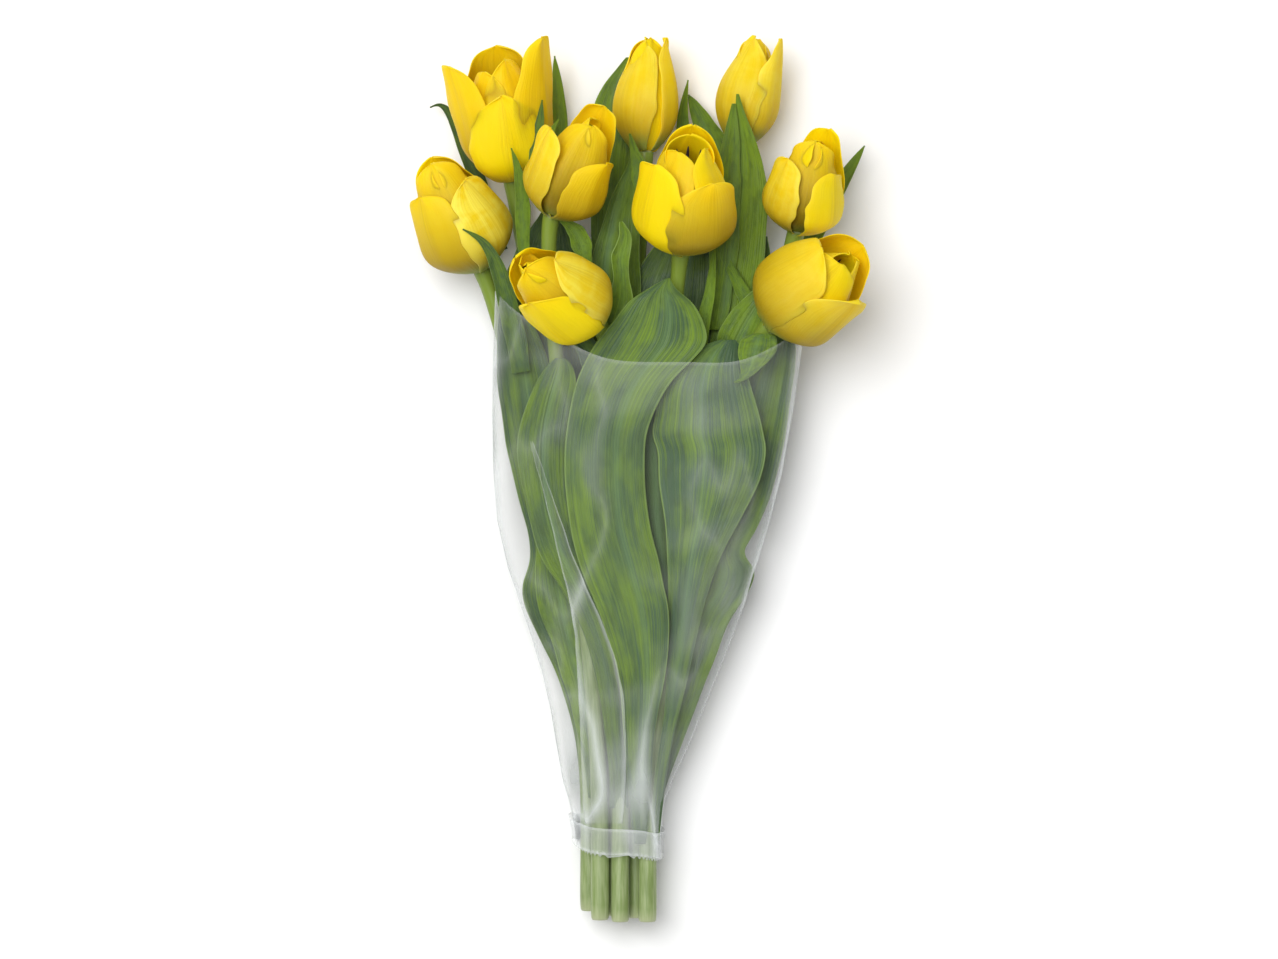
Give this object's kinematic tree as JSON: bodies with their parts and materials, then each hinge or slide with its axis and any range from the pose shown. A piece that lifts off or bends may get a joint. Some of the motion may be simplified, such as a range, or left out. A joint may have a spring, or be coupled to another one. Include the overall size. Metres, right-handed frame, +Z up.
{
  "type": "bunch of tulips",
  "caption": "Bunch of yellow cut tulips with broad green leaves in a clear film sleeve, taped round the stems, lying on a surface.",
  "frame": {"origin": "middle of the bunch's underside, on the surface it lies on", "axes": "+Y from the cut stem ends to the blooms, +Z up from the surface, +X to the right seen from above with the blooms at the top"},
  "size_m": [0.1974, 0.3768, 0.0907],
  "materials": {
    "petal": "satin",
    "pistil": "matte",
    "stem": "satin",
    "leaf": "satin",
    "film": "gloss",
    "tape": "satin"
  },
  "bodies": {
    "root": {"top_left_stem": "stem", "top_left_outer_tepals": "petal", "top_left_inner_tepals": "petal", "top_left_pistil": "pistil", "top_middle_stem": "stem", "top_middle_outer_tepals": "petal", "top_middle_inner_tepals": "petal", "top_middle_pistil": "pistil", "top_right_stem": "stem", "top_right_outer_tepals": "petal", "top_right_inner_tepals": "petal", "top_right_pistil": "pistil", "middle_left_stem": "stem", "middle_left_outer_tepals": "petal", "middle_left_inner_tepals": "petal", "middle_left_pistil": "pistil", "far_left_stem": "stem", "far_left_outer_tepals": "petal", "far_left_inner_tepals": "petal", "far_left_pistil": "pistil", "lower_left_stem": "stem", "lower_left_outer_tepals": "petal", "lower_left_inner_tepals": "petal", "lower_left_pistil": "pistil", "centre_stem": "stem", "centre_outer_tepals": "petal", "centre_inner_tepals": "petal", "centre_pistil": "pistil", "right_stem": "stem", "right_outer_tepals": "petal", "right_inner_tepals": "petal", "right_pistil": "pistil", "lower_right_stem": "stem", "lower_right_outer_tepals": "petal", "lower_right_inner_tepals": "petal", "lower_right_pistil": "pistil", "front_leaf": "leaf", "front_right_leaf": "leaf", "right_edge_leaf": "leaf", "front_left_leaf": "leaf", "left_edge_leaf": "leaf", "low_left_leaf": "leaf", "tall_right_leaf": "leaf", "tall_right_inner_leaf": "leaf", "far_right_leaf": "leaf", "top_middle_leaf": "leaf", "dark_centre_leaf": "leaf", "curled_leaf": "leaf", "thin_left_leaf": "leaf", "top_left_leaf": "leaf", "beside_top_left_leaf": "leaf", "between_left_leaf": "leaf", "top_right_leaf": "leaf", "small_centre_leaf": "leaf", "under_right_leaf": "leaf", "under_left_leaf": "leaf", "back_left_leaf": "leaf", "back_right_leaf": "leaf", "film_sleeve": "film", "foot_tape": "tape"}
  },
  "joints": []
}
